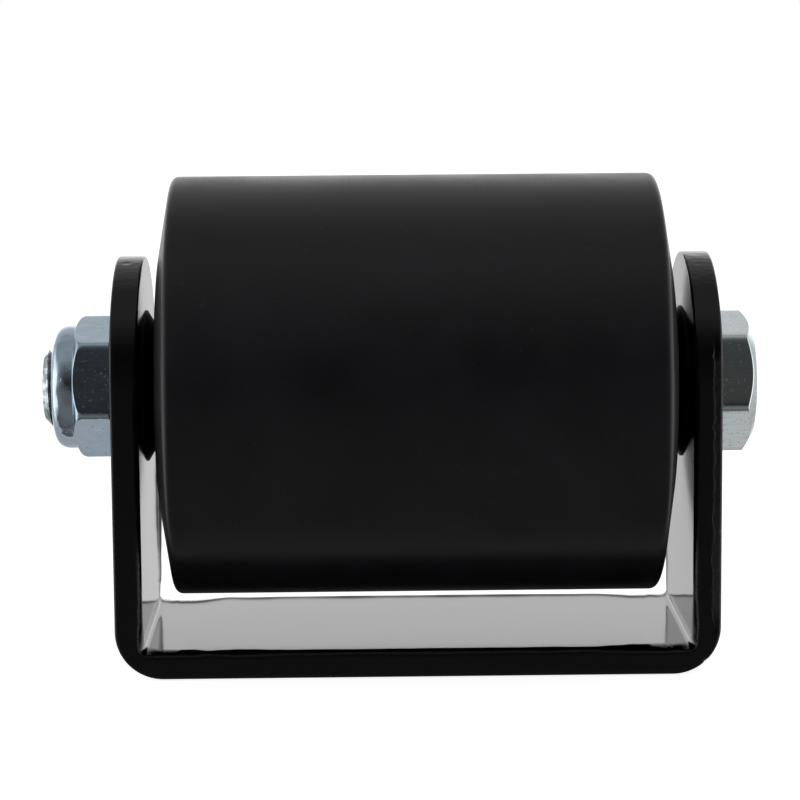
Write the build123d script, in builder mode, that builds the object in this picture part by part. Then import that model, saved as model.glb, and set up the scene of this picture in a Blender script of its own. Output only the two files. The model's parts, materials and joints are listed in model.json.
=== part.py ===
"""Bow roller: a black nylon roller on an M16 bolt, carried by a bent flat-bar yoke.

Millimetres. +X runs along the axle towards the bolt head, +Y to the back, +Z up.
The origin is the centre of the yoke's underside, so the part stands on Z = 0.
"""
import os

from build123d import *

# ---- driving dimensions ------------------------------------------------------------
# yoke: one strip of flat bar, bent into a U
strap_width = 50.0
strap_thick = 5.2             # 5 mm bar and its paint
yoke_width = 113.0            # over the outside of the two ears
bend_outer = 9.0              # outside radius of both bends
bend_inner = 1.0              # the inside of each bend is nearly sharp
axle_height = 52.0            # axle centre above the underside
ear_crown = 25.0              # top of the ear above the axle centre
ear_shoulder = 9.0            # height above the axle centre where the crown arc starts
outer_edge_round = 0.6        # painted edges on the outside of the U
inner_edge_round = 1.3        # painted edges on the inside of the U
ear_hole_radius = 8.25

# roller
roller_radius = 40.0
roller_rim = 91.6             # length over the two rim corners
roller_hub = 96.6             # length over the flat hub faces
hub_radius = 26.0             # outside this the end falls away as a shallow cone
rim_round = 1.2
bore_radius = 13.0
recess_radius = 17.2          # recess in the hub face for the bush flange
recess_depth = 2.0

# bushes pressed into the roller, and the sleeve that they turn on
bush_length = 24.0
bush_flange_radius = 17.0
bush_flange = 2.5
flange_chamfer = 0.3
sleeve_radius = 10.0
sleeve_bore = 8.2
sleeve_chamfer = 0.4
running_clearance = 0.05

# conical thrust collars between the ears and the bush flanges
collar_thick = 2.15
collar_large = 14.5
collar_small = 11.1
collar_ear_gap = 0.1
collar_land = 0.1             # short cylinder at the collar's wide end

# M16 bolt and nylon-insert lock nut
bolt_radius = 8.0
hex_across_flats = 24.0
head_height = 8.3
head_face_radius = 10.5       # the round flat on the head, inside its chamfer
head_chamfer = 2.1            # how far the chamfer reaches down the hexagon's corners
head_turn = 15.0              # turn of the hexagon about the axle, degrees
thread_proud = 1.9            # thread standing out past the nut
thread_chamfer = 1.7
nut_hex_height = 8.0
nut_height = 12.4
nut_face_radius = 11.4        # the washer face that bears on the ear
nut_face_chamfer = 1.2
nut_top_chamfer = 2.4
nut_turn = 17.0
nut_bore = 8.1
crown_radius = 11.9
crown_round = 3.3
insert_radius = 9.9
insert_width = 3.0
insert_lip = 0.8              # rolled steel lip that holds the insert in

same_size = 0.01              # sizes closer than this count as equal when edges are picked

# ---- derived places ----------------------------------------------------------------
half_yoke = yoke_width / 2
half_inside = half_yoke - strap_thick
half_hub = roller_hub / 2
hex_radius = hex_across_flats / 3**0.5
nut_end = -half_yoke - nut_height
thread_end = nut_end - thread_proud
recess_floor = half_hub - recess_depth
flange_face = recess_floor + bush_flange
bush_inner_end = flange_face - bush_length
bush_bore = sleeve_radius + running_clearance
collar_outer = half_inside - collar_ear_gap
collar_inner = collar_outer - collar_thick

axle_centre = (0, 0, axle_height)
axle = Axis(axle_centre, (1, 0, 0))
# local x = world X, local y = height above the axle: the half-sections are drawn here
section_plane = Plane(origin=axle_centre, x_dir=(1, 0, 0), z_dir=(0, -1, 0))
# local x = world Y, local y = world Z: the shapes seen from the end are drawn here
end_plane = Plane(origin=axle_centre, x_dir=(0, 1, 0), z_dir=(1, 0, 0))

os.makedirs("parts", exist_ok=True)
finished = []


def rims(builder, radius):
    """The circular edges of a sub-part that have this radius."""
    circles = builder.edges().filter_by(GeomType.CIRCLE)
    return circles.filter_by(lambda edge: abs(edge.radius - radius) < same_size)


def long_edges(yoke, inside):
    """The edges that run the length of the strip, on the inside or the outside of the U."""
    def is_inside(edge):
        centre = edge.center()
        return (
            abs(centre.X) < half_inside + same_size and centre.Z > strap_thick - same_size
        )

    along = yoke.edges().filter_by(Axis.Y, reverse=True) - rims(yoke, ear_hole_radius)
    return along.filter_by(lambda edge: is_inside(edge) == inside)


def finish(name, builder):
    """Label a finished sub-part and write its STEP file."""
    builder.part.label = name
    export_step(builder.part, f"parts/{name}.step")
    finished.append(builder.part)


# ---- yoke ----------------------------------------------------------------------------
side_height = axle_height + ear_crown
blank_height = side_height + 10   # the ears are cut down from taller blanks
with BuildPart() as yoke_bracket:
    # the bent strip seen from the front: a round-cornered blank, hollowed from above
    with BuildSketch(Plane.XZ) as strip_section:
        Rectangle(yoke_width, blank_height, align=(Align.CENTER, Align.MIN))
        fillet(strip_section.vertices().group_by(Axis.Y)[0], bend_outer)
        with Locations((0, strap_thick)):
            Rectangle(
                2 * half_inside,
                blank_height,
                align=(Align.CENTER, Align.MIN),
                mode=Mode.SUBTRACT,
            )
        inner_corners = strip_section.vertices().filter_by(
            lambda vertex: abs(vertex.Y - strap_thick) < same_size
        )
        fillet(inner_corners, bend_inner)
    extrude(amount=strap_width / 2, both=True)

    # the ears seen from the end: straight sides, then a flatter arc over the top
    with BuildSketch(Plane.YZ):
        with BuildLine():
            shoulder = axle_height + ear_shoulder
            crown = ThreePointArc(
                (-strap_width / 2, shoulder), (0, side_height), (strap_width / 2, shoulder)
            )
            Polyline(
                crown @ 1, (strap_width / 2, 0), (-strap_width / 2, 0), crown @ 0
            )
        make_face()
    extrude(amount=yoke_width, both=True, mode=Mode.INTERSECT)

    with BuildSketch(end_plane):
        Circle(ear_hole_radius)
    extrude(amount=yoke_width, both=True, mode=Mode.SUBTRACT)

    # paint rounds the long edges of the strip; the holes and the bend lines stay crisp
    fillet(long_edges(yoke_bracket, inside=False), outer_edge_round)
    fillet(long_edges(yoke_bracket, inside=True), inner_edge_round)
finish("yoke_bracket", yoke_bracket)

# ---- roller --------------------------------------------------------------------------
with BuildPart() as roller_body:
    with BuildSketch(section_plane) as roller_section:
        with BuildLine():
            inner = Polyline(
                (0, roller_radius),
                (0, bore_radius),
                (recess_floor, bore_radius),
                (recess_floor, recess_radius),
                (half_hub, recess_radius),
                (half_hub, hub_radius),
            )
            Polyline(inner @ 1, (roller_rim / 2, roller_radius), (0, roller_radius))
        make_face()
        # a sketch's own x and y: along the axle, and out from it
        rim_corner = roller_section.vertices().sort_by(
            lambda vertex: vertex.X + vertex.Y
        )[-1]
        fillet(rim_corner, rim_round)
        mirror(about=Plane.YZ)
    revolve(axis=axle)
finish("roller_body", roller_body)

# ---- pieces that the roller turns on ---------------------------------------------------
with BuildPart() as axle_sleeve:
    with BuildSketch(end_plane):
        Circle(sleeve_radius)
        Circle(sleeve_bore, mode=Mode.SUBTRACT)
    extrude(amount=half_inside, both=True)
    chamfer(rims(axle_sleeve, sleeve_radius), sleeve_chamfer)
finish("axle_sleeve", axle_sleeve)

for side, side_name in ((-1, "left"), (1, "right")):
    with BuildPart() as bush:
        with BuildSketch(section_plane):
            with BuildLine():
                Polyline(
                    (side * bush_inner_end, bush_bore),
                    (side * flange_face, bush_bore),
                    (side * flange_face, bush_flange_radius),
                    (side * recess_floor, bush_flange_radius),
                    (side * recess_floor, bore_radius),
                    (side * bush_inner_end, bore_radius),
                    close=True,
                )
            make_face()
        revolve(axis=axle)
        chamfer(rims(bush, bush_flange_radius), flange_chamfer)
    finish(f"bush_{side_name}", bush)

    with BuildPart() as thrust_collar:
        with BuildSketch(section_plane):
            with BuildLine():
                Polyline(
                    (side * collar_outer, bush_bore),
                    (side * collar_outer, collar_large),
                    (side * (collar_outer - collar_land), collar_large),
                    (side * collar_inner, collar_small),
                    (side * collar_inner, bush_bore),
                    close=True,
                )
            make_face()
        revolve(axis=axle)
    finish(f"thrust_collar_{side_name}", thrust_collar)

# ---- bolt ------------------------------------------------------------------------------
with BuildPart() as axle_bolt:
    with BuildSketch(end_plane.offset(half_yoke)):
        RegularPolygon(hex_radius, 6, rotation=head_turn)
    extrude(amount=head_height)
    # turned chamfer over the hexagon's outer corners
    with BuildSketch(section_plane):
        with BuildLine():
            Polyline(
                (half_yoke, 0),
                (half_yoke, hex_radius),
                (half_yoke + head_height - head_chamfer, hex_radius),
                (half_yoke + head_height, head_face_radius),
                (half_yoke + head_height, 0),
                close=True,
            )
        make_face()
    revolve(axis=axle, mode=Mode.INTERSECT)
    with BuildSketch(section_plane):
        with BuildLine():
            Polyline(
                (half_yoke, 0),
                (half_yoke, bolt_radius),
                (thread_end + thread_chamfer, bolt_radius),
                (thread_end, bolt_radius - thread_chamfer),
                (thread_end, 0),
                close=True,
            )
        make_face()
    revolve(axis=axle)
finish("axle_bolt", axle_bolt)

# ---- lock nut --------------------------------------------------------------------------
with BuildPart() as lock_nut:
    with BuildSketch(end_plane.offset(-half_yoke)):
        RegularPolygon(hex_radius, 6, rotation=nut_turn)
    extrude(amount=-nut_hex_height)
    # both ends of the hexagon are chamfered
    with BuildSketch(section_plane):
        with BuildLine():
            Polyline(
                (-half_yoke, 0),
                (-half_yoke, nut_face_radius),
                (-half_yoke - nut_face_chamfer, hex_radius),
                (-half_yoke - nut_hex_height + nut_top_chamfer, hex_radius),
                (-half_yoke - nut_hex_height, crown_radius),
                (-half_yoke - nut_hex_height, 0),
                close=True,
            )
        make_face()
    revolve(axis=axle, mode=Mode.INTERSECT)
    # the rounded crown that holds the nylon ring
    with BuildSketch(section_plane) as crown_section:
        with Locations((nut_end, 0)):
            Rectangle(nut_height - nut_hex_height / 2, crown_radius, align=Align.MIN)
        crown_corner = crown_section.vertices().sort_by(
            lambda vertex: vertex.Y - vertex.X
        )[-1]
        fillet(crown_corner, crown_round)
    revolve(axis=axle)
    # threaded bore, shown plain, and the groove and mouth for the insert
    with BuildSketch(end_plane):
        Circle(nut_bore)
    extrude(amount=-yoke_width, mode=Mode.SUBTRACT)
    with BuildSketch(end_plane.offset(nut_end + insert_lip)):
        Circle(insert_radius)
    extrude(amount=insert_width, mode=Mode.SUBTRACT)
finish("lock_nut", lock_nut)

with BuildPart() as lock_nut_insert:
    with BuildSketch(end_plane.offset(nut_end + insert_lip)):
        Circle(insert_radius)
        Circle(bolt_radius, mode=Mode.SUBTRACT)
    extrude(amount=insert_width)
finish("lock_nut_insert", lock_nut_insert)

for part in finished:
    size = part.bounding_box().size
    print(f"{part.label:22s} {size.X:7.2f} {size.Y:7.2f} {size.Z:7.2f}  {part.volume:10.1f} mm3")
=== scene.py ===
"""Looks of the bow roller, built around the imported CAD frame.

Metres, with +Z up. The camera looks along +Y.
"""
import json
import math

import bmesh
import bpy
from mathutils import Matrix, Vector, noise


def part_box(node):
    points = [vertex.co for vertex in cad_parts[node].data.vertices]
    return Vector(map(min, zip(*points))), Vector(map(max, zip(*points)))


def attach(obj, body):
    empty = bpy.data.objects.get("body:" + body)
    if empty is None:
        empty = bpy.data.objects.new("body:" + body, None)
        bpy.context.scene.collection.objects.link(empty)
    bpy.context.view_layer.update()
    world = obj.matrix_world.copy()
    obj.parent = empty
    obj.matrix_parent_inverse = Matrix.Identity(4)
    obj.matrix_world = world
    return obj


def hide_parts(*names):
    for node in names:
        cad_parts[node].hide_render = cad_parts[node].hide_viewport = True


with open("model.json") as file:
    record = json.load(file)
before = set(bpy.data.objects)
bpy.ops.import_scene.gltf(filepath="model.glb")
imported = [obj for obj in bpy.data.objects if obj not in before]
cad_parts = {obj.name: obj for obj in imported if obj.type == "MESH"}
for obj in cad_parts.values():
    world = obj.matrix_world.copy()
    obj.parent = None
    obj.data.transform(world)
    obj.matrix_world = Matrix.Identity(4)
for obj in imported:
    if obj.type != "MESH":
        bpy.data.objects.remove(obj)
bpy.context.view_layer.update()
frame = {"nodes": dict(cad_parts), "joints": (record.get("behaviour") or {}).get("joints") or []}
nodes = frame["nodes"]
MM = 0.001

# ---- places read from the frame ----------------------------------------------------------
AXLE_Z = frame["joints"][0]["pos_m"][2]
yoke_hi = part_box("yoke_bracket")[1]
roller_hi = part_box("roller_body")[1]
bolt_lo, bolt_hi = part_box("axle_bolt")
nut_lo, nut_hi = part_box("lock_nut")
insert_lo, insert_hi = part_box("lock_nut_insert")


# ---- objects -----------------------------------------------------------------------------
def add_object(name, data):
    """A new object in the scene."""
    item = bpy.data.objects.new(name, data)
    bpy.context.scene.collection.objects.link(item)
    return item


def smooth_mesh(name, points, faces):
    """A mesh from its points and faces, shaded smooth."""
    data = bpy.data.meshes.new(name)
    data.from_pydata(points, [], faces)
    data.polygons.foreach_set("use_smooth", [True] * len(faces))
    return data


# ---- camera ------------------------------------------------------------------------------
def add_camera():
    """A long lens, a little above the axle and a little to the left of the middle."""
    axle_centre = Vector((0, 0, AXLE_Z))
    place = axle_centre + Vector((-9.72, -549.13, 75.53)) * MM
    aim = axle_centre + Vector((-2.75, 0, -3.30)) * MM
    data = bpy.data.cameras.new("camera")
    data.lens = 129.56
    data.sensor_width = 36
    data.clip_start, data.clip_end = 0.05, 20
    camera = add_object("camera", data)
    camera.location = place
    straight = (aim - place).to_track_quat("-Z", "Y").to_matrix().to_4x4()
    roll = Matrix.Rotation(math.radians(-0.452), 4, "Z")
    camera.rotation_euler = (straight @ roll).to_euler()
    bpy.context.scene.camera = camera


# ---- node helpers ------------------------------------------------------------------------
class Nodes:
    """A short way to add and link shader nodes."""

    def __init__(self, tree):
        self.tree = tree
        tree.nodes.clear()

    def add(self, kind, inputs=None, **settings):
        node = self.tree.nodes.new(kind)
        for name, value in settings.items():
            setattr(node, name, value)
        for socket, value in (inputs or {}).items():
            self.put(node.inputs[socket], value)
        return node

    def put(self, socket, value):
        if isinstance(value, bpy.types.NodeSocket):
            self.tree.links.new(value, socket)
        else:
            socket.default_value = value

    def math(self, operation, *values):
        node = self.add("ShaderNodeMath", operation=operation)
        for socket, value in zip(node.inputs, values):
            self.put(socket, value)
        return node.outputs[0]

    def product(self, *factors):
        total = factors[0]
        for factor in factors[1:]:
            total = self.math("MULTIPLY", total, factor)
        return total

    def distance(self, across, above):
        """Distance from a line, from the offsets on two axes square to it."""
        squares = [self.math("POWER", offset, 2) for offset in (across, above)]
        return self.math("SQRT", self.math("ADD", *squares))

    def remap(self, value, low, high, to_low, to_high):
        """Smooth step from to_low to to_high as value goes from low to high."""
        node = self.add("ShaderNodeMapRange", interpolation_type="SMOOTHSTEP")
        for socket, number in zip(node.inputs, (value, low, high, to_low, to_high)):
            self.put(socket, number)
        return node.outputs[0]

    def ramp(self, value, stops):
        """A colour ramp with stops given as (position, colour)."""
        node = self.add("ShaderNodeValToRGB", {"Fac": value})
        elements = node.color_ramp.elements
        while len(elements) < len(stops):
            elements.new(0.5)
        for element, (position, colour) in zip(elements, stops):
            element.position = position
            element.color = (*colour, 1)
        return node.outputs["Color"]

    def noise(self, vector, scale, detail=2.0, roughness=0.5):
        node = self.add(
            "ShaderNodeTexNoise",
            {"Vector": vector, "Scale": scale, "Detail": detail, "Roughness": roughness},
        )
        return node.outputs["Fac"]

    def line_noise(self, value, scale, detail=3.0):
        """Noise that changes along one number only."""
        node = self.add(
            "ShaderNodeTexNoise",
            {"W": value, "Scale": scale, "Detail": detail},
            noise_dimensions="1D",
        )
        return node.outputs["Fac"]

    def stretched(self, vector, scale):
        """The coordinates, scaled by a different amount along each axis."""
        return self.add("ShaderNodeMapping", {"Vector": vector, "Scale": scale}).outputs[0]

    def blend(self, factor, first, second):
        """A colour part of the way from first to second."""
        node = self.add("ShaderNodeMix", data_type="RGBA")
        for index, value in ((0, factor), (6, first), (7, second)):
            self.put(node.inputs[index], value)
        return node.outputs[2]

    def raised(self, colour, *factors):
        """A colour with the product of the factors added to each channel."""
        extra = self.product(*factors)
        total = self.add("ShaderNodeVectorMath", operation="ADD")
        for socket, value in zip(total.inputs, (colour, extra)):
            self.put(socket, value)
        return total.outputs[0]

    def bump(self, height, distance, normal=None):
        inputs = {"Height": height, "Distance": distance}
        if normal is not None:
            inputs["Normal"] = normal
        return self.add("ShaderNodeBump", inputs).outputs["Normal"]

    def coordinates(self):
        """Object coordinates, and the same split into X, Y and Z."""
        place = self.add("ShaderNodeTexCoord").outputs["Object"]
        split = self.add("ShaderNodeSeparateXYZ", {"Vector": place})
        return place, split.outputs["X"], split.outputs["Y"], split.outputs["Z"]

    def surface(self, **inputs):
        """The shader and the output. Input names have underscores for spaces."""
        named = {name.replace("_", " "): value for name, value in inputs.items()}
        shader = self.add("ShaderNodeBsdfPrincipled", named)
        self.add("ShaderNodeOutputMaterial", {"Surface": shader.outputs[0]})


def new_material(name):
    material = bpy.data.materials.new(name)
    material.use_nodes = True
    return material, Nodes(material.node_tree)


# ---- materials ---------------------------------------------------------------------------
def turned_nylon(name, colour, roughness, mark_depth):
    """Black nylon off a lathe: fine rings round the axle, a soft mottle and a few specks."""
    material, n = new_material(name)
    place, along, across, up = n.coordinates()
    above = n.math("SUBTRACT", up, AXLE_Z)
    radius = n.distance(across, above)
    rings = n.line_noise(n.math("ADD", along, radius), 2600)
    mottle = n.noise(place, 55, 4, 0.6)
    specks = n.remap(n.noise(place, 900, 1, 0.4), 0.70, 0.80, 0, 0.35)
    darker, lighter = ([times * c for c in colour] for times in (0.8, 1.25))
    shade = n.ramp(mottle, [(0.3, darker), (0.7, lighter)])
    uneven = n.remap(mottle, 0.25, 0.75, roughness - 0.04, roughness + 0.05)
    n.surface(
        Base_Color=n.blend(specks, shade, (0.06, 0.06, 0.06, 1)),
        Roughness=n.math("ADD", uneven, n.product(rings, 0.05)),
        Normal=n.bump(rings, mark_depth),
        IOR=1.46,
    )
    return material


def gloss_paint():
    """Thick gloss black paint over sheared flat bar.

    It is gritty on the sheared edges, most of all on the outer part of the right ear's, and
    wrinkled round the ears' tops.
    """
    material, n = new_material("yoke_paint")
    place, along, across, up = n.coordinates()
    paint_colour, grit_colour = (0.0030, 0.0030, 0.0034, 1), (0.085, 0.083, 0.085, 1)
    arc = 27.5 * MM                     # about the radius of the round over each ear's top
    half_width = yoke_hi.y
    from_middle = n.math("ABSOLUTE", across)
    sheared = n.remap(from_middle, half_width - 1.0 * MM, half_width - 0.3 * MM, 0, 1)
    outside = n.remap(along, yoke_hi.x - 2.0 * MM, yoke_hi.x - 1.5 * MM, 0, 1)
    above_bend = n.remap(up, 9 * MM, 13 * MM, 0, 1)
    below_shoulder = n.remap(up, 58 * MM, 62 * MM, 1, 0)
    torn = n.product(outside, sheared, above_bend, below_shoulder)
    from_arc = n.distance(across, n.math("SUBTRACT", up, yoke_hi.z - arc))
    near_top = n.remap(up, 66 * MM, 74 * MM, 0, 1)
    crown = n.product(near_top, n.remap(from_arc, arc - 0.6 * MM, arc - 0.2 * MM, 0, 1))
    wrinkles = n.product(n.noise(n.stretched(place, (450, 900, 450)), 1.0, 3, 0.6), crown)
    peel = n.noise(place, 520, 2, 0.5)
    ripple = n.noise(place, 60, 1, 0.4)
    grit = n.noise(place, 2400, 3, 0.6)
    gritty = n.math("ADD", sheared, torn)
    skin = n.math("ADD", n.product(peel, 0.5), n.product(ripple, 2.0))
    smooth_normal = n.bump(wrinkles, 0.10 * MM, n.bump(skin, 0.010 * MM))
    n.surface(
        Base_Color=n.blend(n.product(torn, grit), paint_colour, grit_colour),
        Roughness=n.math("ADD", 0.10, n.product(gritty, 0.16)),
        Normal=n.bump(n.product(grit, gritty), 0.08 * MM, smooth_normal),
        IOR=1.5,
    )
    return material


def zinc_plate(name, tint):
    """Bright zinc, faintly iridescent round its tint, with drawn lines along the flats.

    The bolt's tip, beyond the nut, is stained.
    """
    material, n = new_material(name)
    place, along, across, up = n.coordinates()
    drawn = n.noise(n.stretched(place, (120, 2600, 2600)), 1.0, 3, 0.6)
    cloud = n.noise(place, 160, 2, 0.5)
    dots = n.remap(n.noise(place, 1700, 2, 0.5), 0.62, 0.75, 0, 1)
    beyond_nut = n.remap(along, nut_lo.x - 0.4 * MM, nut_lo.x, 1, 0)
    blotches = n.remap(n.noise(place, 700, 4, 0.7), 0.40, 0.58, 0.25, 0.85)
    stain = n.product(blotches, beyond_nut)
    red, green, blue = tint
    colour = n.ramp(
        cloud,
        [(0.25, (0.88 * red, 0.95 * green, 0.97 * blue)), (0.5, tint),
         (0.75, (1.06 * red, 0.97 * green, 0.99 * blue))],
    )
    rough = n.remap(drawn, 0.3, 0.7, 0.09, 0.17)
    n.surface(
        Base_Color=n.blend(stain, colour, (0.12, 0.19, 0.22, 1)),
        Metallic=1.0,
        Roughness=n.math("ADD", rough, n.product(dots, 0.15)),
        Normal=n.bump(dots, -0.02 * MM, n.bump(drawn, 0.006 * MM)),
    )
    return material


def insert_plastic():
    """The lock nut's ring: natural nylon."""
    material, n = new_material("insert_nylon")
    place = n.coordinates()[0]
    cloud = n.noise(place, 400, 2, 0.5)
    n.surface(
        Base_Color=n.ramp(cloud, [(0.3, (0.70, 0.70, 0.66)), (0.7, (0.80, 0.80, 0.77))]),
        Roughness=n.remap(cloud, 0.3, 0.7, 0.35, 0.5),
        Subsurface_Weight=0.2,
        Subsurface_Scale=0.001,
    )
    return material


# ---- outlines for turned and hexagonal pieces --------------------------------------------
def rounded(corners, steps=6):
    """A line through (x, r, setback) corners, each rounded by a curve that starts setback away.

    A point just outside each curve keeps the shading of the straight beside it flat.
    """
    path = []
    last = len(corners) - 1
    for i, (x, r, setback) in enumerate(corners):
        here = Vector((x, r))
        if i in (0, last) or setback <= 0:
            path.append((x, r))
            continue
        before = (Vector(corners[i - 1][:2]) - here).normalized()
        after = (Vector(corners[i + 1][:2]) - here).normalized()
        path.append(tuple(here + before * setback * 1.25))
        for k in range(steps + 1):
            t = k / steps
            start, end = here + before * setback, here + after * setback
            path.append(tuple(start * (1 - t) ** 2 + here * 2 * t * (1 - t) + end * t**2))
        path.append(tuple(here + after * setback * 1.25))
    return path


def divided(points, step):
    """The same line with no stretch longer than step."""
    path = [points[0]]
    for (x0, r0), (x1, r1) in zip(points, points[1:]):
        count = max(1, math.ceil(math.hypot(x1 - x0, r1 - r0) / step))
        for i in range(1, count + 1):
            path.append((x0 + (x1 - x0) * i / count, r0 + (r1 - r0) * i / count))
    return path


def softer_least(a, b, blend):
    """The smaller of two radii, with the corner where they cross rounded."""
    return min(a, b) - blend * math.log1p(math.exp(-abs(a - b) / blend))


def hexagon_radius(angle, turn, apothem, sharpness=44):
    """Radius of a hexagon with slightly rounded corners, one of them at angle turn."""
    total = 0.0
    for side in range(6):
        facing = math.cos(angle - turn - math.pi / 6 - side * math.pi / 3)
        total += max(facing, 0.0) ** sharpness
    return apothem / total ** (1 / sharpness)


def turned_piece(name, outline, body, replaced, segments=360, radius_at=None, ring=False):
    """Revolve an (x, r) outline about the axle, in place of a CAD node.

    radius_at(x, r, angle) may reshape it. A ring's outline closes on itself, and any other
    outline starts and ends on the axle.
    """
    points, rows = [], []
    for x, r in outline:
        count = segments if r > 0 else 1
        rows.append(list(range(len(points), len(points) + count)))
        for i in range(count):
            angle = 2 * math.pi * i / segments
            radius = radius_at(x, r, angle) if radius_at else r
            points.append(
                (x, radius * math.cos(angle), AXLE_Z + radius * math.sin(angle))
            )
    pairs = list(zip(rows, rows[1:]))
    if ring:
        pairs.append((rows[-1], rows[0]))
    faces = []
    for first, second in pairs:
        for i in range(segments):
            j = (i + 1) % segments
            corners = [first[j % len(first)], first[i % len(first)]]
            corners += [second[i % len(second)], second[j % len(second)]]
            faces.append(list(dict.fromkeys(corners)))
    piece = add_object(name, smooth_mesh(name, points, faces))
    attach(piece, body)
    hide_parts(replaced)
    return piece


# ---- roller ------------------------------------------------------------------------------
def add_roller():
    """Straight turned barrel, rounded rims, cone ends and a recess for each bush flange."""
    half = roller_hi.x
    radius = roller_hi.z - AXLE_Z
    rim_x, rim_round = 45.8 * MM, 1.4 * MM
    hub_radius, hub_round = 26.0 * MM, 0.6 * MM
    bore, recess = 13.0 * MM, 17.2 * MM
    recess_floor = half - 2.0 * MM
    broken_edge, recess_corner = 0.3 * MM, 0.2 * MM
    right = [
        (0, bore, 0), (recess_floor, bore, broken_edge),
        (recess_floor, recess, recess_corner), (half, recess, broken_edge),
        (half, hub_radius, hub_round), (rim_x, radius, rim_round), (0, radius, 0),
    ]
    right = divided(rounded(right, 10), 4 * MM)
    left = [(-x, r) for x, r in reversed(right)]
    outline = right + left[1:-1]
    piece = turned_piece("roller_turned", outline, "roller", "roller_body", ring=True)
    nylon = turned_nylon("roller_nylon", (0.0200, 0.0196, 0.0240), 0.33, 0.004 * MM)
    piece.data.materials.append(nylon)


# ---- bolt and nut ------------------------------------------------------------------------
HEX_APOTHEM = 12.0 * MM
HEX_CORNER = HEX_APOTHEM / math.cos(math.pi / 6)
PITCH = 2.0 * MM
HEAD_TURN = math.radians(15)
NUT_TURN = math.radians(17)
BEYOND_HEX = HEX_CORNER + 0.6 * MM      # outline radius where the hexagon decides the shape
FACE_RADIUS = 11.4 * MM                 # round face under the head and the nut
CORNER_BLEND = 0.05 * MM                # rounding where a hexagon meets its chamfer
OUTLINE_STEP = 0.15 * MM


def thread_radius(x, angle, crest):
    """Radius of a right-hand 60 degree thread, with flat crests and roots."""
    depth = 0.6134 * PITCH
    half_crest = 1 / 16                 # as a share of the pitch
    turn = (x / PITCH - angle / (2 * math.pi)) % 1.0
    from_crest = abs(turn - 0.5) - half_crest
    fall = max(from_crest, 0.0) * PITCH / math.tan(math.radians(30))
    return crest - min(fall, depth)


def add_bolt(zinc):
    """Hexagon head with its turned chamfer, plain shank, and a real thread at the end."""
    tip, end = bolt_lo.x, bolt_hi.x
    ear = yoke_hi.x
    shank = 8.0 * MM
    tip_radius = 6.3 * MM
    thread_length, thread_step = 18 * MM, PITCH / 16
    uncut_radius = 6 * MM               # the tip's end face, inside this, has no thread
    face_top, hex_start = ear + 0.4 * MM, ear + 0.6 * MM
    head_face, chamfer_depth = 10.5 * MM, 2.1 * MM
    slope = (HEX_CORNER - head_face) / chamfer_depth
    over = (BEYOND_HEX - head_face) / slope
    threaded = divided(
        rounded(
            [(tip, 0, 0), (tip, tip_radius, 0.25 * MM), (tip + shank - tip_radius, shank, 0),
             (tip + thread_length, shank, 0)]
        ),
        thread_step,
    )
    head = rounded(
        [(ear, shank, 0), (ear, FACE_RADIUS, 0), (face_top, FACE_RADIUS, 0),
         (hex_start, BEYOND_HEX, 0), (end - over, BEYOND_HEX, 0),
         (end, head_face, 0.5 * MM), (end, 0, 0)]
    )
    outline = threaded + divided(head, OUTLINE_STEP)

    def radius_at(x, r, angle):
        if x > ear:
            return softer_least(r, hexagon_radius(angle, HEAD_TURN, HEX_APOTHEM), CORNER_BLEND)
        if x < tip + thread_length and r > uncut_radius:
            fade = min(1.0, (tip + thread_length - x) / PITCH)
            cut = thread_radius(x, angle, shank)
            return min(r, shank - (shank - cut) * fade)
        return r

    piece = turned_piece("bolt_threaded", outline, "yoke", "axle_bolt", radius_at=radius_at)
    piece.data.materials.append(zinc)


def add_nut(zinc):
    """Hexagon chamfered at both ends, and the rounded crown that holds the nylon ring."""
    ear, end = nut_hi.x, nut_lo.x
    bore, mouth = 8.1 * MM, 8.7 * MM
    groove = (insert_hi.z - insert_lo.z) / 2
    flare_depth, flare = 4 * MM, 0.6 * MM
    chamfer = 1.6 * MM
    hex_end = ear - 8.0 * MM
    crown, crown_round, crown_start = 11.9 * MM, 3.3 * MM, hex_end - 0.1 * MM
    # the hexagon's end is turned to a convex curve: steep near the crown, then flatter
    curve_start, curve_end = hex_end + 3.4 * MM, 12.1 * MM
    curve_x, curve_radius, curve_round = hex_end + 0.75 * MM, 13.3 * MM, 0.5 * MM
    small_round = 0.1 * MM
    corners = [
        (ear - flare_depth, bore, 0), (ear, bore + flare, 0), (ear, FACE_RADIUS, 0),
        (ear - chamfer, BEYOND_HEX, 0), (curve_start, BEYOND_HEX, 0),
        (curve_x, curve_radius, curve_round), (hex_end, curve_end, small_round),
        (crown_start, crown, 0), (end, crown, crown_round), (end, mouth, small_round),
        (insert_lo.x, mouth, 0), (insert_lo.x, groove, 0), (insert_hi.x, groove, 0),
        (insert_hi.x, bore, 0),
    ]
    outline = divided(rounded(corners, 12), OUTLINE_STEP)
    dent_scale, dent_depth = 380, 0.05 * MM

    def radius_at(x, r, angle):
        here = Vector((x, r * math.cos(angle), r * math.sin(angle)))
        uneven = min(noise.noise(here * dent_scale), 0) * dent_depth
        on_hexagon = r > 10 * MM and x > hex_end - 0.3 * MM
        on_crown = x < hex_end and r > mouth
        if on_hexagon:
            r = softer_least(r, hexagon_radius(angle, NUT_TURN, HEX_APOTHEM), CORNER_BLEND)
        elif on_crown:
            r += 2 * uneven
        return r + uneven

    piece = turned_piece(
        "nut_crowned", outline, "yoke", "lock_nut", radius_at=radius_at, ring=True
    )
    piece.data.materials.append(zinc)


# ---- yoke --------------------------------------------------------------------------------
THICK = 5.2 * MM
BEND_OUTER, BEND_INNER = 9.0 * MM, 1.0 * MM
SHOULDER_Z = AXLE_Z + 9.0 * MM          # where the arc over the ear's top starts
HOLE_RADIUS = 8.25 * MM
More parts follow.
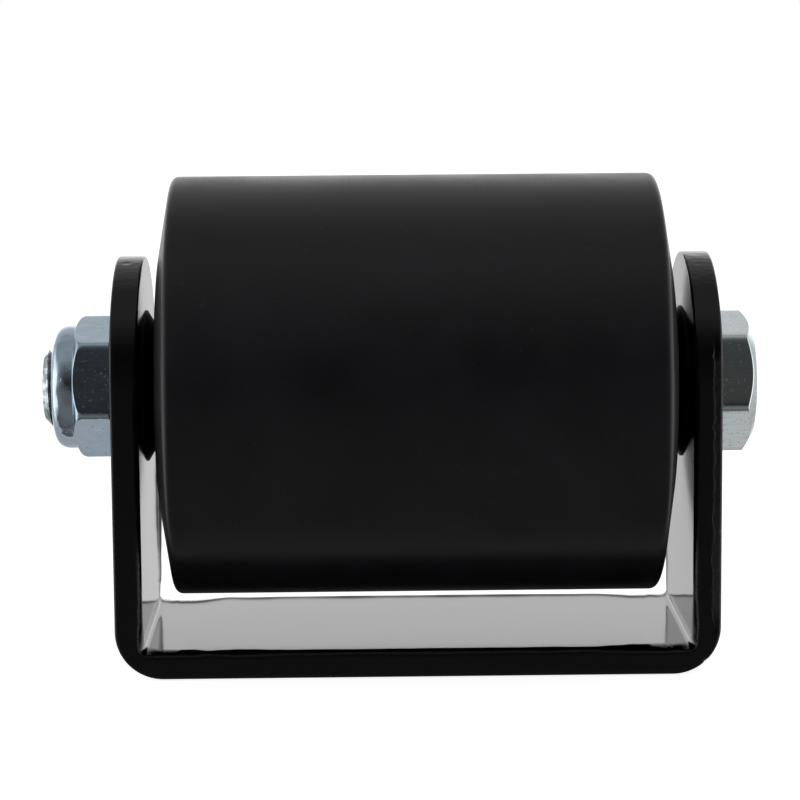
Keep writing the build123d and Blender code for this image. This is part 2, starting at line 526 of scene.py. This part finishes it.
# how far before and after the shoulder its corner is eased, in strip_point's stations
EASE_BEFORE, EASE_AFTER = 0.14, 0.24
OUTER_ROUND = 0.6 * MM
SHEAR_LINE = 1.7 * MM                   # depth of the ragged line on the right ear's cut edge
# nicks in the paint: x, y, z, radius and depth, all in millimetres
NICKS = [
    (-54.4, -6.5, 76.2, 0.9, 0.50), (-52.7, -7.6, 75.9, 0.7, 0.30),
    (53.6, -9.0, 75.5, 0.8, 0.30), (53.7, -25.0, 2.4, 0.9, 0.50),
    (-51.9, -22.0, 63.8, 0.8, 0.25), (56.3, -25.0, 27.0, 0.8, 0.20),
]


def ramped(value, start, length):
    """0 up to start, 1 from start + length on, and straight between them."""
    return min(1.0, max(0.0, (value - start) / length))


def bend_path(b):
    """Points on the outside and the inside of the bend; b goes from 0 at the base to 1."""
    angle = b * math.pi / 2
    corner_x = yoke_hi.x - BEND_OUTER
    outer = Vector((corner_x + BEND_OUTER * math.sin(angle), BEND_OUTER * (1 - math.cos(angle))))
    straight = BEND_OUTER - THICK - BEND_INNER
    curved = BEND_INNER * math.pi / 2
    run = b * (2 * straight + curved)
    if run < straight:
        return outer, Vector((corner_x + run, THICK))
    if run > straight + curved:
        return outer, Vector((yoke_hi.x - THICK, THICK + BEND_INNER + run - straight - curved))
    angle = (run - straight) / BEND_INNER
    inner_x = corner_x + straight + BEND_INNER * math.sin(angle)
    return outer, Vector((inner_x, THICK + BEND_INNER * (1 - math.cos(angle))))


def ear_outline(s, inset):
    """(y, z) on the ear's outline, set in by inset, with the corner at the shoulder eased."""
    rise = yoke_hi.z - SHOULDER_Z
    arc = (yoke_hi.y**2 + rise**2) / (2 * rise)
    arc_z = yoke_hi.z - arc
    arc -= inset
    y = yoke_hi.y - inset
    shoulder = arc_z + math.sqrt(arc**2 - y**2)

    def up_straight(at):
        return Vector((y, BEND_OUTER + (shoulder - BEND_OUTER) * (at - 2)))

    def round_arc(at):
        angle = math.asin(y / arc) * (4 - at)
        return Vector((arc * math.sin(angle), arc_z + arc * math.cos(angle)))

    first, last = 3 - EASE_BEFORE, 3 + EASE_AFTER
    if s <= first:
        return up_straight(s)
    if s >= last:
        return round_arc(s)
    start, end = up_straight(first), round_arc(last)
    angle = math.asin(y / arc) * (4 - last)
    control = Vector((y, end.y - (y - end.x) * math.tan(angle)))
    t = (s - first) / (last - first)
    return start * (1 - t) ** 2 + control * 2 * t * (1 - t) + end * t**2


def strip_point(station, inset, depth, across):
    """A point of the bent strip.

    station goes from 0 at the middle of the base through 1 and 2 at the ends of the bend and
    3 at the ear's shoulder to 4 at its top, and is negative on the left. inset is measured
    in from the strip's outline, depth in from the outside of the U, and across goes from -1
    at the front to 1 at the back.
    """
    s = abs(station)
    side = math.copysign(1, station)
    y = yoke_hi.y - inset
    if s <= 1:
        x, z = s * (yoke_hi.x - BEND_OUTER), depth
    elif s <= 2:
        outer, inner = bend_path(s - 1)
        x, z = outer.lerp(inner, depth / THICK)
    else:
        x = yoke_hi.x - depth
        y, z = ear_outline(s, inset)
    return Vector((side * x, across * y, z))


def strip_edge(station, across):
    """The (inset, depth) line over one edge of the strip, from its outside to its inside.

    Paint makes the inner rounding uneven, fatter near the bends and thin round the ears'
    tops, and it stands in a bead along the inside of the back edge, fatter on the left ear.
    The right ear's front edge has a ragged line where the shear's clean cut ends.
    """
    corner = strip_point(station, 0, THICK, across)
    from_bend = math.hypot(abs(corner.x) - yoke_hi.x + THICK, corner.z - THICK)
    reach = (14 if abs(station) < 1 else 6) * MM
    near_bend = math.exp(-((from_bend / reach) ** 2))
    near_top = ramped(corner.z, 52 * MM, 14 * MM)
    wave = noise.noise(corner * 120) + 0.3 * noise.noise(corner * 350)
    inner_round = (1.25 - 0.75 * near_top + 0.25 * wave) * MM
    inner_wide = inner_round + near_bend * (1.9 + 4.5 * wave) * MM
    inner_wide = max(inner_wide, 0.4 * MM)
    torn = 0.0
    if across < 0:                      # on the right ear, from the bend to the shoulder
        torn = min(ramped(station, 1.9, 0.2), ramped(-station, -3.1, 0.1))
    ragged = noise.noise(corner * 350) + 1.1 * noise.noise(corner * 1300)
    line = SHEAR_LINE + 0.45 * MM * ragged

    edge = [(OUTER_ROUND + 0.3 * MM, 0.0)]
    for i in range(5):
        a = math.radians(90) * i / 4
        edge.append((OUTER_ROUND * (1 - math.sin(a)), OUTER_ROUND * (1 - math.cos(a))))
    # the torn band, set in a little, up to the ragged line; short is in millimetres
    for short in (0.6, 0.35, 0.21, 0.0):
        depth = max(line - short * MM, OUTER_ROUND + (0.15 - 0.2 * short) * MM)
        rough = noise.noise(corner * 900 + Vector((0, 0, depth * 900)))
        step = (0.28 + 0.16 * rough) * MM if short else 0.0
        edge.append((torn * step, depth))
    edge.append((0.0, max(line, OUTER_ROUND + 0.15 * MM) + 0.08 * MM))
    # the clean cut, then the inner rounding
    for i in range(1, 6):
        edge.append((0.0, line + 0.25 * MM + (THICK - inner_round - line - 0.35 * MM) * i / 6))
    for i in range(9):
        a = math.radians(90) * i / 8
        edge.append((inner_wide * (1 - math.cos(a)), THICK - inner_round * (1 - math.sin(a))))
    bead = 0.0
    if across > 0:
        left = ramped(-station, 1.95, 0.1)
        bead = (0.20 + 0.30 * left) * (1 - near_top) * (1 + 0.5 * wave)
    bead_shape = ((0.3, 0.6), (0.7, 1.0), (1.1, 0.85), (1.6, 0.35), (2.2, 0.05), (3.2, 0))
    for beyond, share in bead_shape:
        edge.append((inner_wide + beyond * MM, THICK + share * bead * MM))
    return edge


def nicked(point):
    """A point of the yoke, pushed in where there is a nick."""
    for x, y, z, radius, depth in NICKS:
        centre = Vector((x, y, z)) * MM
        away = (point - centre).length / (radius * MM)
        if away < 1:
            uneven = 0.7 + 0.3 * noise.noise(point * 1500)
            inward = (Vector((0, 0, AXLE_Z)) - centre).normalized()
            point = point + inward * depth * MM * (1 - away**2) ** 2 * uneven
    return point


def add_yoke(paint):
    """The painted strip: sheared edges, uneven paint, nicks, and a hole through each ear."""
    spacing, bend_steps = 0.55 * MM, 28
    half_arc = 31 * MM                  # about the length of the round from shoulder to top
    lengths = (yoke_hi.x - BEND_OUTER, SHOULDER_Z - BEND_OUTER, half_arc)
    base, straight, top = (round(length / spacing) for length in lengths)
    counts = (base, bend_steps, straight, top)
    half = [k + i / count for k, count in enumerate(counts) for i in range(count)] + [4.0]
    stations = [-s for s in reversed(half)] + half[1:]
    across_face = 12
    points, index, rings = [], {}, []
    for station in stations:
        back, front = strip_edge(station, 1), strip_edge(station, -1)
        ring = [(inset, depth, 1.0) for inset, depth in back]
        for i in range(1, across_face):
            ring.append((back[-1][0], THICK, 1 - 2 * i / across_face))
        ring += [(inset, depth, -1.0) for inset, depth in reversed(front)]
        for i in range(1, across_face):
            ring.append((back[0][0], 0.0, -1 + 2 * i / across_face))
        row = []
        for inset, depth, across in ring:
            point = nicked(strip_point(station, inset, depth, across))
            key = tuple(round(value / MM, 4) for value in point)
            if key not in index:
                index[key] = len(points)
                points.append(point)
            row.append(index[key])
        rings.append(row)
    faces = []
    for first, second in zip(rings, rings[1:]):
        for i in range(len(first)):
            j = (i + 1) % len(first)
            corners = list(dict.fromkeys([first[i], first[j], second[j], second[i]]))
            if len(corners) > 2:
                faces.append(corners)
    piece = add_object("yoke_painted", smooth_mesh("yoke_painted", points, faces))
    cut_hole(piece)
    piece.data.materials.clear()
    piece.data.materials.append(paint)
    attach(piece, "yoke")
    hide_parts("yoke_bracket")


def cut_hole(piece):
    """Drill both ears along the axle."""
    form = bmesh.new()
    along_axle = Matrix.Translation((0, 0, AXLE_Z)) @ Matrix.Rotation(math.pi / 2, 4, "Y")
    bmesh.ops.create_cone(
        form, cap_ends=True, segments=96, radius1=HOLE_RADIUS, radius2=HOLE_RADIUS,
        depth=3 * yoke_hi.x, matrix=along_axle,
    )
    drill_mesh = bpy.data.meshes.new("drill")
    form.to_mesh(drill_mesh)
    form.free()
    drill = add_object("drill", drill_mesh)
    cut = piece.modifiers.new("hole", "BOOLEAN")
    cut.operation, cut.solver, cut.object = "DIFFERENCE", "EXACT", drill
    graph = bpy.context.evaluated_depsgraph_get()
    drilled = bpy.data.meshes.new_from_object(piece.evaluated_get(graph))
    piece.modifiers.clear()
    piece.data = drilled
    bpy.data.objects.remove(drill)


def dress(node, material):
    """Give a CAD node that shows as it is its material."""
    mesh = nodes[node].data
    mesh.materials.clear()
    mesh.materials.append(material)


# ---- stage -------------------------------------------------------------------------------
def add_floor():
    """A plain pale floor that only the camera sees, so it throws no light on the object."""
    half_size, z = 6.0, -0.1 * MM
    data = bpy.data.meshes.new("floor")
    corners = [(-1, -1), (1, -1), (1, 1), (-1, 1)]
    data.from_pydata([(x * half_size, y * half_size, z) for x, y in corners], [], [(0, 1, 2, 3)])
    floor = add_object("floor", data)
    floor.visible_diffuse = floor.visible_glossy = False
    material, n = new_material("floor")
    glow = n.add("ShaderNodeEmission", {"Color": (1, 1, 1, 1), "Strength": 0.86})
    dull = n.add("ShaderNodeBsdfDiffuse", {"Color": (0.9, 0.9, 0.9, 1)})
    both = n.add("ShaderNodeAddShader")
    n.put(both.inputs[0], glow.outputs[0])
    n.put(both.inputs[1], dull.outputs[0])
    n.add("ShaderNodeOutputMaterial", {"Surface": both.outputs[0]})
    data.materials.append(material)


def add_studio():
    """Bright low down behind the object and beside it, grey overhead, darker in front and under."""
    world = bpy.data.worlds.new("studio")
    bpy.context.scene.world = world
    world.use_nodes = True
    n = Nodes(world.node_tree)
    towards = n.add("ShaderNodeTexCoord").outputs["Generated"]
    split = n.add("ShaderNodeSeparateXYZ", {"Vector": towards})
    back, up = split.outputs["Y"], split.outputs["Z"]
    front_to_back = n.math("MULTIPLY_ADD", back, 0.5, 0.5)

    def greys(stops):
        return n.ramp(front_to_back, [(place, [grey] * 3) for place, grey in stops])

    above = greys(
        [(0.02, 0.022), (0.08, 0.075), (0.22, 0.21), (0.36, 0.31), (0.50, 0.28), (0.62, 0.25),
         (0.82, 0.45)]
    )
    below = greys(
        [(0.00, 0.09), (0.09, 0.15), (0.22, 0.15), (0.36, 0.10), (0.50, 0.08), (0.56, 0.50),
         (0.61, 0.37)]
    )
    behind = n.remap(back, 0.68, 0.94, 0.0, 1.0)
    above = n.raised(above, behind, n.remap(up, 0.0, 0.75, 1.15, 0.0))
    below = n.raised(below, behind, n.remap(up, -0.75, 0.0, 0.0, 0.55))
    lit = n.blend(n.remap(up, -0.05, 0.03, 0, 1), below, above)
    beside = n.remap(n.math("ABSOLUTE", split.outputs["X"]), 0.66, 0.86, 0.0, 1.0)
    off_line = n.remap(n.math("ABSOLUTE", back), 0.35, 0.55, 1.0, 0.10)
    level = n.remap(n.math("ABSOLUTE", up), 0.2, 0.7, 1.0, 0.0)
    lit = n.raised(lit, beside, off_line, level)
    light = n.add("ShaderNodeBackground", {"Color": lit, "Strength": 1.0})
    white = n.add("ShaderNodeBackground", {"Color": (1, 1, 1, 1), "Strength": 1.0})
    seen = n.add("ShaderNodeLightPath").outputs["Is Camera Ray"]
    mix = n.add("ShaderNodeMixShader", {"Fac": seen})
    n.put(mix.inputs[1], light.outputs[0])
    n.put(mix.inputs[2], white.outputs[0])
    n.add("ShaderNodeOutputWorld", {"Surface": mix.outputs[0]})
    bpy.context.scene.view_settings.view_transform = "Standard"


# ---- put together ------------------------------------------------------------------------
add_camera()
zinc_bolt = zinc_plate("bolt_zinc", (0.90, 0.97, 0.98))
zinc_nut = zinc_plate("nut_zinc", (0.66, 0.80, 0.92))
collar_nylon = turned_nylon("collar_nylon", (0.006, 0.006, 0.007), 0.42, 0.003 * MM)
bush_acetal = turned_nylon("bush_acetal", (0.014, 0.014, 0.015), 0.34, 0.003 * MM)

add_roller()
add_bolt(zinc_bolt)
add_nut(zinc_nut)
add_yoke(gloss_paint())
dress("axle_sleeve", zinc_plate("sleeve_steel", (0.74, 0.77, 0.79)))
dress("lock_nut_insert", insert_plastic())
for side in ("left", "right"):
    dress(f"thrust_collar_{side}", collar_nylon)
    dress(f"bush_{side}", bush_acetal)

add_floor()
add_studio()
